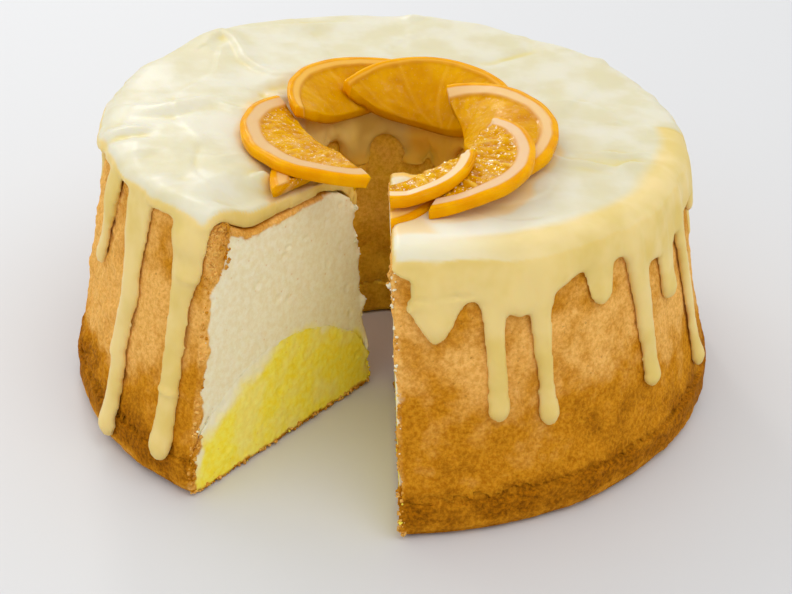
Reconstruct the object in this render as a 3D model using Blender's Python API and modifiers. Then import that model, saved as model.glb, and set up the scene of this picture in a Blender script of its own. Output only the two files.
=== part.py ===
"""A tall ring cake of two sponges under poured icing, with one wedge cut out and eight candied orange slices.

Metres, +Z up. The cake stands on z = 0 with its tube hole along the Z axis. The wedge is missing at the
front, between two knife cuts. Each piece is modelled upright first, and then the whole stack is leaned a
little, so that its top slopes as a hand-made cake's does.
"""

import math
from typing import NamedTuple

import bmesh
import bpy
import numpy as np

# The sponge, baked in a ten-inch tube pan
BASE_RADIUS = 0.129
TOP_RADIUS = 0.1095
SPONGE_HEIGHT = 0.101
WALL_BULGE = 0.0015
WALL_BULGE_HEIGHT = 0.012
WALL_BULGE_REACH = 0.008
WALL_BENDS = (0.065, 0.035, 0.02)
HOLE_BASE_RADIUS = 0.0275
HOLE_TOP_RADIUS = 0.0365
TOP_EDGE_ROUND = 0.005
BOTTOM_EDGE_ROUND = 0.005
HOLE_EDGE_WIDTH = 0.021
HOLE_EDGE_DROP = 0.011
LAYER_EDGE_HEIGHT = 0.011
LAYER_RISE = 0.032
# How much the height changes across the cake, as a share of the x distance at the sponge's top
TOP_LEAN = -0.035

# The icing
ICING_THICKNESS = 0.0042
ICING_EDGE_ROUND = 0.008
SKIRT_THICKNESS = 0.0032
HOLE_SKIRT_BOTTOM = 0.080
HOLE_SKIRT_RISE = 0.008
DRIP_THICKNESS = 0.0030
DRIP_BURIAL = 0.004
# How much each side of a drip widens where it leaves the skirt, and over what height, in millimetres
ROOT_FLARE = 5
ROOT_REACH = 20
DRIP_BENDS = [92, 96, 99.5, 102]
HOLE_DRIP_BENDS = [88]

# The two knife cuts: a point on each at the base, its direction outwards, and how far it leans sideways
LEFT_CUT_POINT = (-0.0089, -0.0271)
LEFT_CUT_DEGREES = 231.3
LEFT_CUT_LEAN = 0.015
RIGHT_CUT_POINT = (0.0006, 0.0)
RIGHT_CUT_DEGREES = 271.55
RIGHT_CUT_LEAN = 0.0367
SIDE_OF_CUT_DEGREES = 335
CUT_REACH = 0.25
CUT_BOTTOM = -0.02
CUT_TOP = 0.16

# The orange slices
SLICE_THICKNESS = 0.0038
SLICE_END_MARGIN = 5
# The grid stops this near to a slice's pointed ends, as a share of the way, so that they keep a little width
SLICE_END_SHARE = 0.985
SLICE_DRAPE_LIMIT = 0.010
SLICE_CLEARANCE = 0.0010
# How far the left remnant keeps clear of slice 2's arc and cut side, in millimetres
REMNANT_GAP = 1
REMNANT_CLEARED = 12

GAP = 0.0003
SEGMENTS = 48
MM = 0.001


class Drip(NamedTuple):
    """A run of icing down the wall: degrees round the cake at its top and tip, then millimetres."""

    top: float
    tip: float
    tip_height: float
    neck_width: float
    tip_width: float


class Slice(NamedTuple):
    """A piece of an orange slice: its circle's centre and radius, the way its arc faces, and its cut side."""

    x: float
    y: float
    radius: float
    faces: float
    cut_at: float


SHOWN_DRIPS = (
    Drip(205, 202, 61, 5.5, 6.5),
    Drip(216, 214.2, 4.5, 9.5, 11),
    Drip(231, 229, 11.5, 10, 9.5),
    Drip(277.5, 277.3, 73.5, 19, 10),
    Drip(287.3, 288, 43, 6.4, 7.6),
    Drip(295.5, 297, 38, 6, 7.4),
    Drip(310, 309.3, 75.5, 10.5, 9),
    Drip(319.5, 321.3, 33.5, 7.6, 9.5),
    Drip(330.5, 330, 62, 10.5, 10),
    Drip(337.5, 341, 20, 6, 9.5),
    Drip(352, 352, 77, 8, 7),
)
FAR_DRIPS = (
    Drip(6, 7, 48, 6.5, 7.5),
    Drip(24, 24, 68, 8, 7),
    Drip(40, 42, 28, 6.5, 8),
    Drip(60, 59, 60, 6, 7),
    Drip(82, 83, 40, 6.5, 7.5),
    Drip(104, 104, 70, 8, 7),
    Drip(122, 120, 24, 7, 8.5),
    Drip(143, 144, 56, 6.5, 7.5),
    Drip(158, 156, 36, 6.5, 8),
    Drip(176, 174, 66, 7, 7),
)
HOLE_DRIPS = (
    Drip(118, 118, 59, 8, 7),
    Drip(76, 76, 71, 4, 5),
    Drip(54, 52, 70, 10, 8),
    Drip(12, 12, 64, 8, 7),
    Drip(166, 164, 68, 8, 7),
    Drip(205, 205, 72, 8, 7),
    Drip(325, 325, 72, 8, 7),
)
# Where the skirt between the drips ends: degrees round the cake, and millimetres of height
SKIRT_EDGE = (
    (0, 86), (14, 90), (32, 85), (50, 90), (70, 84), (93, 89), (113, 85), (133, 90), (152, 86), (173, 91),
    (192, 96), (203, 99), (236, 100), (268, 84), (277, 85), (285, 87), (292.5, 79.5), (300, 88), (307, 91),
    (315, 90), (322, 83), (330, 80), (337, 84), (346, 88), (360, 86),
)
SLICES = (
    Slice(-14, -19.5, 43.5, 208, 16),
    Slice(-3.5, 8.5, 39.5, 135, 14),
    Slice(12, 8, 36, 72, 4),
    Slice(17, -21, 44, 8, 10),
    Slice(10.5, -46.5, 40, 339, 16),
    Slice(-2, -55, 30.5, 305, 17),
)
# What is left, on the icing, of slices that the cuts went through
LEFT_REMNANT = Slice(-1, -55, 41, 200, 10)
RIGHT_REMNANT = Slice(-22, -58, 40, 315, 20)
SLICE_GRID = (12, 3)


# Scene helpers


def clear_scene():
    for obj in list(bpy.data.objects):
        bpy.data.objects.remove(obj, do_unlink=True)


def new_collection(name):
    collection = bpy.data.collections.new(name)
    bpy.context.scene.collection.children.link(collection)
    return collection


def new_material(name, colour, roughness):
    material = bpy.data.materials.new(name)
    material.use_nodes = True
    shader = material.node_tree.nodes["Principled BSDF"]
    shader.inputs["Base Color"].default_value = (*colour, 1.0)
    shader.inputs["Roughness"].default_value = roughness
    material.diffuse_color = (*colour, 1.0)
    return material


def new_object(name, mesh, collection):
    obj = bpy.data.objects.new(name, mesh)
    collection.objects.link(obj)
    return obj


def as_cutter(obj):
    obj.hide_render = True
    obj.display_type = "WIRE"
    return obj


def add_boolean(obj, operation, other, solver="EXACT"):
    modifier = obj.modifiers.new(operation.title() + " " + other.name, "BOOLEAN")
    modifier.operation = operation
    modifier.solver = solver
    modifier.object = other


def faces_outwards(mesh):
    body = bmesh.new()
    body.from_mesh(mesh)
    bmesh.ops.recalc_face_normals(body, faces=body.faces)
    body.to_mesh(mesh)
    body.free()


def loft(name, rings, closed, collection):
    """A mesh through rings of equally many points. A closed one joins its last ring to its first."""
    count = len(rings[0])
    points = [point for ring in rings for point in ring]
    faces = []
    for i in range(len(rings) if closed else len(rings) - 1):
        near = i * count
        far = (i + 1) % len(rings) * count
        for j in range(count):
            k = (j + 1) % count
            faces.append((near + j, near + k, far + k, far + j))
    if not closed:
        faces.append(tuple(range(count)))
        faces.append(tuple(range(len(points) - count, len(points))))
    mesh = bpy.data.meshes.new(name)
    mesh.from_pydata(points, [], faces)
    faces_outwards(mesh)
    return new_object(name, mesh, collection)


def turned(name, profile, collection):
    """A ring: a closed profile of (radius, height), turned about Z. It runs down its outer side."""
    points = [(radius, 0, height) for radius, height in profile]
    edges = [(i, (i + 1) % len(points)) for i in range(len(points))]
    mesh = bpy.data.meshes.new(name)
    mesh.from_pydata(points, edges, [])
    obj = new_object(name, mesh, collection)
    screw = obj.modifiers.new("Turn", "SCREW")
    screw.steps = SEGMENTS
    screw.render_steps = SEGMENTS
    screw.use_merge_vertices = True
    screw.merge_threshold = 0.00001
    return obj


# The cake's lines


def outer_radius(height):
    """The wall's radius: a cone, swollen a little just above the base."""
    bulge = WALL_BULGE * math.exp(-(((height - WALL_BULGE_HEIGHT) / WALL_BULGE_REACH) ** 2))
    return BASE_RADIUS + (TOP_RADIUS - BASE_RADIUS) * height / SPONGE_HEIGHT + bulge


def hole_radius(height):
    return HOLE_BASE_RADIUS + (HOLE_TOP_RADIUS - HOLE_BASE_RADIUS) * height / SPONGE_HEIGHT


def wall_radius(height):
    """The sponge's outer wall, turning in over its top edge."""
    shoulder = SPONGE_HEIGHT - TOP_EDGE_ROUND
    if height <= shoulder:
        return outer_radius(height)
    rise = min(height - shoulder, TOP_EDGE_ROUND)
    return outer_radius(shoulder) - TOP_EDGE_ROUND + math.sqrt(TOP_EDGE_ROUND**2 - rise**2)


def quarter(centre, across, up, start, points):
    """A quarter of an ellipse from the angle start, clockwise, as (radius, height) points."""
    angles = [math.radians(start - 90 * i / (points - 1)) for i in range(points)]
    return [(centre[0] + across * math.cos(a), centre[1] + up * math.sin(a)) for a in angles]


def layer_height(share):
    """The yellow sponge's top, by share of the way from the outer wall to the hole: a dome."""
    bulge = max(math.sin(math.pi * share**0.95), 0)
    return LAYER_EDGE_HEIGHT + LAYER_RISE * bulge**0.45


def layer_line(lift):
    """The line between the sponges, from the outer wall to the hole."""
    shares = (0, 0.03, 0.09, 0.2, 0.4, 0.6, 0.78, 0.9, 0.97, 1)
    line = []
    for share in shares:
        height = layer_height(share) + lift
        outer = outer_radius(height)
        line.append((outer + (hole_radius(height) - outer) * share, height))
    return line


def top_outer_corner(grow):
    shoulder = SPONGE_HEIGHT - TOP_EDGE_ROUND
    centre = (outer_radius(shoulder) - TOP_EDGE_ROUND, shoulder)
    return quarter(centre, TOP_EDGE_ROUND + grow, TOP_EDGE_ROUND + grow, 90, 4)


def hole_corner(grow, points=5):
    """The rounded edge where the top falls into the hole, from the hole's wall up to the top."""
    lip = SPONGE_HEIGHT - HOLE_EDGE_DROP
    centre = (hole_radius(lip) + HOLE_EDGE_WIDTH, lip)
    return quarter(centre, HOLE_EDGE_WIDTH + grow, HOLE_EDGE_DROP + grow, 180, points)


def wall_line(grow):
    return [(outer_radius(height) + grow, height) for height in WALL_BENDS]


def white_profile():
    return top_outer_corner(0) + wall_line(0) + layer_line(GAP) + hole_corner(0)


def yellow_profile():
    round_ = BOTTOM_EDGE_ROUND
    outside = quarter((outer_radius(round_) - round_, round_), round_, round_, 0, 4)
    inside = quarter((hole_radius(0) + round_ / 2, round_ / 2), round_ / 2, round_ / 2, 270, 3)
    return outside + inside + layer_line(0)[::-1]


def whole_profile(grow):
    """Both sponges as one, grown all round, to clear the icing from them."""
    bottom = [(outer_radius(LAYER_EDGE_HEIGHT) + grow, LAYER_EDGE_HEIGHT)]
    bottom += [(outer_radius(0) + grow, -grow), (hole_radius(0) - grow, -grow)]
    return top_outer_corner(grow) + wall_line(grow) + bottom + hole_corner(grow)


# The icing


def skirt_bottom(degrees):
    angles, heights = zip(*SKIRT_EDGE)
    return float(np.interp(degrees % 360, angles, heights)) * MM


def icing_radius(height):
    """The icing's outer side over the wall, turning in at the top edge."""
    shoulder = SPONGE_HEIGHT + ICING_THICKNESS - ICING_EDGE_ROUND
    reach = outer_radius(min(height, shoulder)) + SKIRT_THICKNESS
    rise = min(max(height - shoulder, 0), ICING_EDGE_ROUND)
    return reach - ICING_EDGE_ROUND + math.sqrt(ICING_EDGE_ROUND**2 - rise**2)


def icing_ring(degrees):
    """The icing's section at one angle, from inside the hole, over the top and down to the skirt's edge."""
    bottom = skirt_bottom(degrees)
    wall = SKIRT_THICKNESS
    round_ = ICING_EDGE_ROUND
    shoulder = SPONGE_HEIGHT + ICING_THICKNESS - round_
    lowest = math.asin(max(bottom + 0.8 * wall - shoulder, 0) / round_)
    turns = [math.pi / 2 + (lowest - math.pi / 2) * share for share in (0, 0.3, 0.6, 1)]
    heights = [shoulder + round_ * math.sin(turn) for turn in turns]
    over = [(icing_radius(height), height) for height in heights]
    if bottom + wall < shoulder:
        over.append((icing_radius(bottom + wall), bottom + wall))
    else:
        over.insert(2, ((over[1][0] + over[2][0]) / 2, (over[1][1] + over[2][1]) / 2))
    foot = [
        (icing_radius(bottom) - 0.3 * wall, bottom + 0.3 * wall),
        (icing_radius(bottom) - 2 * wall, bottom),
    ]
    low = HOLE_SKIRT_BOTTOM + HOLE_SKIRT_RISE * (1 - math.sin(math.radians(degrees))) / 2
    inside = [
        (hole_radius(low) + wall, low),
        (hole_radius(low) - 0.6 * wall, low + 0.3 * wall),
        (hole_radius(low) - wall, low + wall),
    ]
    angle = math.radians(degrees)
    section = inside + hole_corner(wall) + over + foot
    return [(r * math.cos(angle), r * math.sin(angle), z) for r, z in section]


def drip_half_width(drip, height, shoulder):
    """Wide where it leaves the skirt, narrow along its neck, and a round bead at its tip."""
    bead = drip.tip_width / 2
    above = height - drip.tip_height
    if above < bead:
        return math.sqrt(max(bead**2 - (bead - above) ** 2, 0.01))
    swelling = max(0, 1 - (above - bead) / (2.5 * bead))
    root = ROOT_FLARE * math.exp(-(((shoulder - height) / ROOT_REACH) ** 2))
    return (drip.neck_width + (drip.tip_width - drip.neck_width) * swelling) / 2 + root


def drip_ring(drip, height, shoulder, wall, outwards):
    """A low arch across the wall, closed by two points inside the cake."""
    half = drip_half_width(drip, height, shoulder) * MM
    share = (height - drip.tip_height) / (shoulder - drip.tip_height)
    middle = math.radians(drip.tip + (drip.top - drip.tip) * share)
    thickness = DRIP_THICKNESS * min(1, 0.25 + half / (drip.neck_width / 2 * MM))
    radius = wall(height * MM)
    ring = []
    for across in (-1, -0.8, -0.35, 0.35, 0.8, 1):
        arch = thickness * math.sqrt(1 - across**2)
        ring.append((across * half, arch))
    ring += [(0.8 * half, -DRIP_BURIAL), (-0.8 * half, -DRIP_BURIAL)]
    points = []
    for sideways, proud in ring:
        r = radius + outwards * proud
        angle = middle + sideways / radius
        points.append((r * math.cos(angle), r * math.sin(angle), height * MM))
    return points


def drip_object(number, drip, bends, wall, outwards, collection):
    """A drip from its tip to the last of the heights that its wall bends at."""
    bead = drip.tip_width / 2
    tip = drip.tip_height
    heights = [tip + 0.05 * bead, tip + 0.4 * bead, tip + bead]
    neck = [tip + (bends[0] - tip) * share for share in (0.35, 0.75)]
    heights += [height for height in neck if height > tip + 2 * bead]
    heights += bends
    rings = [drip_ring(drip, height, bends[-1], wall, outwards) for height in heights]
    return as_cutter(loft(f"drip_{number}", rings, False, collection))


def make_icing(wedge, sponge_space, parts, helpers):
    rings = [icing_ring(360 * i / SEGMENTS) for i in range(SEGMENTS)]
    icing = loft("icing", rings, True, parts)
    outside = [(drip, DRIP_BENDS, wall_radius, 1) for drip in SHOWN_DRIPS + FAR_DRIPS]
    inside = [(drip, HOLE_DRIP_BENDS, hole_radius, -1) for drip in HOLE_DRIPS]
    for number, how in enumerate(outside + inside, 1):
        add_boolean(icing, "UNION", drip_object(number, *how, helpers), "MANIFOLD")
    add_boolean(icing, "DIFFERENCE", sponge_space, "MANIFOLD")
    add_boolean(icing, "DIFFERENCE", wedge, "MANIFOLD")
    return icing


# The wedge that was cut out


def cut_line(point, degrees, lean_sideways, height):
    """Where a cut crosses a level: a point on it and its direction outwards."""
    angle = math.radians(degrees)
    along = np.array((math.cos(angle), math.sin(angle)))
    sideways = np.array((math.sin(angle), -math.cos(angle)))
    return np.array(point) + sideways * lean_sideways * height, along


def wedge_ring(height, left_degrees, right_degrees):
    left, left_way = cut_line(LEFT_CUT_POINT, left_degrees, LEFT_CUT_LEAN, height)
    right, right_way = cut_line(RIGHT_CUT_POINT, right_degrees, RIGHT_CUT_LEAN, height)
    reach = np.linalg.solve(np.column_stack((left_way, -right_way)), right - left)[0]
    apex = left + left_way * reach
    corners = (apex, apex + left_way * CUT_REACH, apex + right_way * CUT_REACH)
    return [(x, y, height) for x, y in corners]


def make_wedge(name, left_degrees, right_degrees, collection):
    rings = [wedge_ring(height, left_degrees, right_degrees) for height in (CUT_BOTTOM, CUT_TOP)]
    return as_cutter(loft(name, rings, False, collection))


# The orange slices


def drape(flat_radius, lift):
    """Where a point this far out lies (radius, height) when the slice bends over the edge into the hole."""
    lip = SPONGE_HEIGHT - HOLE_EDGE_DROP
    across = HOLE_EDGE_WIDTH + ICING_THICKNESS + SLICE_CLEARANCE + lift
    up = HOLE_EDGE_DROP + ICING_THICKNESS + SLICE_CLEARANCE + lift
    edge = hole_radius(lip) + HOLE_EDGE_WIDTH
    bend_length = math.pi / 2 * math.hypot(across, up) / math.sqrt(2)
    past = edge - flat_radius
    if past <= 0:
        return flat_radius, lip + up
    turn = min(past / bend_length, 1) * math.pi / 2
    below = min(max(past - bend_length, 0), SLICE_DRAPE_LIMIT)
    return edge - across * math.sin(turn), lip + up * math.cos(turn) - below


def flat_point(item, along, across):
    """A point of the flat slice, by shares: along its cut side (-1 to 1), then out to its arc (0 to 1)."""
    half = math.sqrt(item.radius**2 - item.cut_at**2)
    sideways = along * half
    depth = item.cut_at + across * (math.sqrt(max(item.radius**2 - sideways**2, 0)) - item.cut_at)
    faces = math.radians(item.faces)
    x = (item.x + depth * math.cos(faces) - sideways * math.sin(faces)) * MM
    y = (item.y + depth * math.sin(faces) + sideways * math.cos(faces)) * MM
    return x, y


def clockwise_from_cut(item, x, y):
    """Degrees round the cake from the right cut, counted so that they don't jump within the slice."""
    middle = (RIGHT_CUT_DEGREES - item.faces) % 360
    here = RIGHT_CUT_DEGREES - math.degrees(math.atan2(y, x))
    return middle + (here - middle + 180) % 360 - 180


def shingle_lift(number, here):
    """Each slice lies on the one before it: its far end is on the icing and its near end on its neighbour."""
    step = SLICE_THICKNESS + SLICE_CLEARANCE
    ends = [clockwise_from_cut(item, *flat_point(item, -1, 0)) + SLICE_END_MARGIN for item in SLICES[:-1]]
    return step * max(number - np.interp(here, ends, range(len(ends))), 0)


def slice_point(number, item, along, across):
    x, y = flat_point(item, along, across)
    angle = math.atan2(y, x)
    radius, height = drape(math.hypot(x, y), shingle_lift(number, clockwise_from_cut(item, x, y)))
    return radius * math.cos(angle), radius * math.sin(angle), height


def slice_sheet(name, number, item, collection):
    """The slice's underside: a grid fitted between the cut side and the arc, draped over the cake."""
    mesh = bpy.data.meshes.new(name)
    grid = bmesh.new()
    bmesh.ops.create_grid(grid, x_segments=SLICE_GRID[0], y_segments=SLICE_GRID[1], size=1)
    for vertex in grid.verts:
        along = math.sin(vertex.co.x * math.pi / 2 * SLICE_END_SHARE)
        vertex.co = slice_point(number, item, along, (vertex.co.y + 1) / 2)
    bmesh.ops.recalc_face_normals(grid, faces=grid.faces)
    if sum(face.normal.z for face in grid.faces) < 0:
        bmesh.ops.reverse_faces(grid, faces=grid.faces)
    grid.to_mesh(mesh)
    grid.free()
    return new_object(name, mesh, collection)


def thicken(obj, thickness, offset):
    solidify = obj.modifiers.new("Thickness", "SOLIDIFY")
    solidify.thickness = thickness
    solidify.offset = offset
    return obj


def make_slice(name, number, item, collection):
    return thicken(slice_sheet(name, number, item, collection), SLICE_THICKNESS, 1)


def make_slices(wedge, right_of_left_cut, parts, helpers):
    """The remnant left of the wedge, the whole slices, each over the one before, and the right remnant."""
    first = SLICES[0]
    wider = first._replace(radius=first.radius + REMNANT_GAP, cut_at=first.cut_at - REMNANT_CLEARED)
    space = as_cutter(thicken(slice_sheet("space_of_slice_2", 0, wider, helpers), 3 * SLICE_THICKNESS, 0))
    left = make_slice("orange_slice_1", 0, LEFT_REMNANT, parts)
    add_boolean(left, "DIFFERENCE", space)
    add_boolean(left, "DIFFERENCE", right_of_left_cut)
    stack = []
    for number, item in enumerate(SLICES):
        stack.append(make_slice(f"orange_slice_{number + 2}", number, item, parts))
    right = make_slice("orange_slice_8", 0, RIGHT_REMNANT, parts)
    for obj in stack[-2:] + [right]:
        add_boolean(obj, "DIFFERENCE", wedge)
    return [left] + stack + [right]


# Putting it together


def lean(obj):
    """Makes the object a plain mesh and slopes it with the cake: nothing at the base, most at the top."""
    graph = bpy.context.evaluated_depsgraph_get()
    mesh = bpy.data.meshes.new_from_object(obj.evaluated_get(graph))
    for vertex in mesh.vertices:
        vertex.co.z *= 1 + TOP_LEAN * vertex.co.x / SPONGE_HEIGHT
    mesh.name = obj.name
    obj.modifiers.clear()
    obj.data = mesh


def main():
    clear_scene()
    parts = new_collection("angel_food_cake")
    helpers = new_collection("cutters")
    helpers.hide_render = True
    wedge = make_wedge("wedge", LEFT_CUT_DEGREES, RIGHT_CUT_DEGREES, helpers)
    right_of_left_cut = make_wedge("right_of_left_cut", LEFT_CUT_DEGREES, SIDE_OF_CUT_DEGREES, helpers)
    sponge_space = as_cutter(turned("sponge_space", whole_profile(GAP), helpers))

    white = turned("white_sponge", white_profile(), parts)
    yellow = turned("yellow_sponge", yellow_profile(), parts)
    for sponge in (white, yellow):
        add_boolean(sponge, "DIFFERENCE", wedge)
    icing = make_icing(wedge, sponge_space, parts, helpers)
    slices = make_slices(wedge, right_of_left_cut, parts, helpers)

    bpy.context.view_layer.update()
    for obj in [white, yellow, icing] + slices:
        lean(obj)
        obj.data.materials.clear()
    white.data.materials.append(new_material("white crumb", (0.80, 0.74, 0.55), 0.85))
    yellow.data.materials.append(new_material("yellow crumb", (0.80, 0.62, 0.10), 0.85))
    icing.data.materials.append(new_material("icing", (0.86, 0.80, 0.55), 0.35))
    for obj in slices:
        obj.data.materials.append(new_material("candied orange", (0.85, 0.42, 0.02), 0.15))
    for obj in [white, yellow, icing] + slices:
        obj.data.shade_smooth()
        obj.data.set_sharp_from_angle(angle=math.radians(35))


main()
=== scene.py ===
"""The angel food cake's looks: crusts, crumb, poured icing and candied orange, in metres in the CAD's frame.

Shapes are worked out in millimetres, in numpy, and turned into metres where they become a mesh. "Upright"
heights are those of the cake before its stack was leaned.
"""

import itertools
import math
from typing import NamedTuple

import bmesh
import bpy
import numpy as np
from mathutils import Matrix, Vector


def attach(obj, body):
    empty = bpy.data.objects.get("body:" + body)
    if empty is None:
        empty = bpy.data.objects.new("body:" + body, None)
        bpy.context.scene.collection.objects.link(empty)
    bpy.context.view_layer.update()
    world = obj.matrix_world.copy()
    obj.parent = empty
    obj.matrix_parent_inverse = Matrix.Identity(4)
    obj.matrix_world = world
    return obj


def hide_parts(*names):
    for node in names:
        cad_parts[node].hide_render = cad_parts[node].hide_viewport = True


MM = 0.001


class Cut(NamedTuple):
    """A knife cut: a point on it at the base, its direction outwards, its sideways lean, which side of it the
    cake is on (1 for the left cut and -1 for the right), and how far along it the cake begins."""

    x: float
    y: float
    degrees: float
    lean: float
    side: int
    starts: float


# The cake's lines, as the CAD has them, in millimetres and degrees
BASE_RADIUS = 129
TOP_RADIUS = 109.5
SPONGE_HEIGHT = 101
HOLE_BASE_RADIUS = 27.5
HOLE_TOP_RADIUS = 36.5
HOLE_EDGE_WIDTH = 21
HOLE_EDGE_DROP = 11
LAYER_EDGE_HEIGHT = 11
LAYER_RISE = 32
ICING_THICKNESS = 4.2
TOP_LEAN = -0.035
RING_SIDES = 48
LEFT_CUT = Cut(-8.9, -27.1, 231.3, 0.015, 1, -6)
RIGHT_CUT = Cut(0.6, 0.0, 271.55, 0.0367, -1, 20)
SLICE_STEP = 4.8
SLICE_CLEARANCE = 1
SLICE_END_MARGIN = 5
SLICE_END_SHARE = 0.985
SLICE_DRAPE_LIMIT = 10

# How a solid becomes a visible piece: the size of its quads in millimetres, how deep from a cut a sponge's
# are halved, and the share of the hidden ones that is merged away
SPONGE_QUAD = 1.45
ICING_QUAD = 1.08
HALVED_AT_CUT = 1.6
HIDDEN_MERGED = 0.9
SHARP_EDGE_DEGREES = 50

# A cut counts only for the points between these depths, in millimetres
PAST_CUT = -4
CUT_REACH = 30
# How far the tops settle beside the left cut, and over what width
SPONGE_SETTLES = 8
ICING_SETTLES = 5.5
SETTLED_WIDTH = 22
# How near the walls the sponges' boundary is level, how far each laps over the other's edge, and how far the
# yellow crumb ends below the boundary toward the outside and over it beside the hole
LAYER_MARGIN = 1.5
SEAM_LAP = 1.1
YELLOW_DROPS = 7
YELLOW_RISES = 6
# The drips in the hole, and how far and for how many degrees beside them the skirt's edge hangs lower
HOLE_DRIPS = (12, 54, 76, 118, 166, 205, 325)
ARCH_DROP = 5.5
ARCH_REACH = 23
ARCH_FOOT = 8
# How wide and deep the right cut's knife scraped the skirt off the wall
SCRAPE_WIDTH = 6
SCRAPE_DEPTH = 5.5
# How coarse the crumb of each sponge's cut is
WHITE_GRAIN = 0.15
YELLOW_GRAIN = 0.75


# Repeatable noise


def ramp(low, high, value):
    """From 0 at low to 1 at high, smoothly."""
    t = np.clip((value - low) / (high - low), 0, 1)
    return t * t * (3 - 2 * t)


def random_at(cells, seed):
    """A repeatable number from 0 to 1 for each whole-numbered cell."""
    n = cells.astype(np.int64)
    mixed = n[..., 0] * 374761393 + n[..., 1] * 668265263 + n[..., 2] * 1103515245 + seed * 974634777
    mixed = (mixed ^ (mixed >> 13)) * 1274126177
    mixed = (mixed ^ (mixed >> 15)) * 2246822519
    return ((mixed ^ (mixed >> 16)) & 0xFFFFFF) / 0xFFFFFF


def noise(points, size, seed):
    """Smooth noise from -1 to 1 whose lumps are about this size."""
    scaled = points / size
    cell = np.floor(scaled)
    t = scaled - cell
    t = t * t * (3 - 2 * t)
    total = np.zeros(len(points))
    for corner in itertools.product((0, 1), repeat=3):
        weight = np.prod(np.where(corner, t, 1 - t), axis=-1)
        total += weight * random_at(cell + corner, seed)
    return 2 * total - 1


def layered(points, size, seed, layers=3):
    return sum(noise(points, size / 2**k, seed + k) / 2**k for k in range(layers))


def nearest_dot(points, size, seed):
    """How far each point is from the nearest of scattered dots, in dot spacings, and that dot's number."""
    scaled = points / size
    cell = np.floor(scaled)
    nearest = np.full(len(points), 9.0)
    number = np.zeros(len(points))
    for offset in itertools.product((-1, 0, 1), repeat=3):
        home = cell + offset
        dot = home + np.stack([random_at(home, seed + k) for k in range(3)], axis=-1)
        gap = np.linalg.norm(scaled - dot, axis=-1)
        closer = gap < nearest
        nearest[closer] = gap[closer]
        number[closer] = random_at(home[closer], seed + 3)
    return nearest, number


def pits(points, size, seed, share):
    """Round pits, from 0 outside to 1 at the bottom, at this share of the scattered dots."""
    gap, number = nearest_dot(points, size, seed)
    return ramp(0.5, 0.1, gap) * (number < share)


# Meshes as arrays of millimetres


def read_rows(items, name, width, kind=np.float32):
    flat = np.empty(len(items) * width, kind)
    items.foreach_get(name, flat)
    return flat.reshape(-1, width)


def points_of(mesh):
    return read_rows(mesh.vertices, "co", 3).astype(float) / MM


def normals_of(mesh):
    return read_rows(mesh.vertex_normals, "vector", 3).astype(float)


def edges_of(mesh):
    return read_rows(mesh.edges, "vertices", 2, np.int32)


def set_points(mesh, points):
    mesh.vertices.foreach_set("co", (points * MM).astype(np.float32).ravel())
    mesh.update()


def averaged(values, edges, rounds):
    """Each vertex's values moved to the mean of its neighbours', this many times."""
    ends = np.concatenate([edges, edges[:, ::-1]])
    size = len(values)
    count = np.maximum(np.bincount(ends[:, 0], minlength=size), 1)
    columns = values.reshape(size, -1).copy()
    for _ in range(rounds):
        for k in range(columns.shape[1]):
            columns[:, k] = np.bincount(ends[:, 0], columns[ends[:, 1], k], size) / count
    return columns.reshape(values.shape)


def write_values(mesh, **fields):
    """Gives each vertex the named values, from 0 to 1, which the materials read."""
    for name, values in fields.items():
        attribute = mesh.attributes.new(name, "FLOAT", "POINT")
        attribute.data.foreach_set("value", np.clip(values, 0, 1).astype(np.float32))


def new_object(name, mesh):
    obj = bpy.data.objects.new(name, mesh)
    bpy.context.scene.collection.objects.link(obj)
    return obj


def apply_modifiers(obj):
    graph = bpy.context.evaluated_depsgraph_get()
    mesh = bpy.data.meshes.new_from_object(obj.evaluated_get(graph))
    obj.modifiers.clear()
    obj.data = mesh


def lofted(name, points, count):
    """A closed mesh through rings of this many points, with a face over each end."""
    faces = []
    for near in range(0, len(points) - count, count):
        far = near + count
        for j in range(count):
            k = (j + 1) % count
            faces.append((near + j, near + k, far + k, far + j))
    faces.append(tuple(range(count - 1, -1, -1)))
    faces.append(tuple(range(len(points) - count, len(points))))
    mesh = bpy.data.meshes.new(name)
    mesh.from_pydata((points * MM).tolist(), [], faces)
    body = bmesh.new()
    body.from_mesh(mesh)
    bmesh.ops.recalc_face_normals(body, faces=body.faces)
    if body.calc_volume(signed=True) < 0:
        bmesh.ops.reverse_faces(body, faces=body.faces)
    body.to_mesh(mesh)
    body.free()
    return new_object(name, mesh)


# Where a point is in the cake


def turned(degrees, start):
    """The turn from one heading to another, from -180 to 180 degrees."""
    return (degrees - start + 180) % 360 - 180


def upright(points):
    return points[:, 2] / (1 + TOP_LEAN * points[:, 0] / SPONGE_HEIGHT)


def outer_radius(height):
    bulge = 1.5 * np.exp(-(((height - 12) / 8) ** 2))
    return BASE_RADIUS + (TOP_RADIUS - BASE_RADIUS) * height / SPONGE_HEIGHT + bulge


def hole_radius(height):
    return HOLE_BASE_RADIUS + (HOLE_TOP_RADIUS - HOLE_BASE_RADIUS) * height / SPONGE_HEIGHT


def cut_outwards(cut):
    """The way out of the cake at a knife cut."""
    angle = math.radians(cut.degrees)
    return -cut.side * np.array([math.sin(angle), -math.cos(angle), -cut.lean])


def depth_from_cut(points, cut):
    """How far inside the cake each point is from a knife cut, or CUT_REACH where it isn't beside the cut."""
    angle = math.radians(cut.degrees)
    x, y = points[:, 0] - cut.x, points[:, 1] - cut.y
    depth = cut.side * (x * math.sin(angle) - y * math.cos(angle) - cut.lean * upright(points))
    along = x * math.cos(angle) + y * math.sin(angle)
    beside = (along > cut.starts) & (depth > PAST_CUT) & (depth < CUT_REACH)
    return np.where(beside, depth, CUT_REACH)


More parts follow.
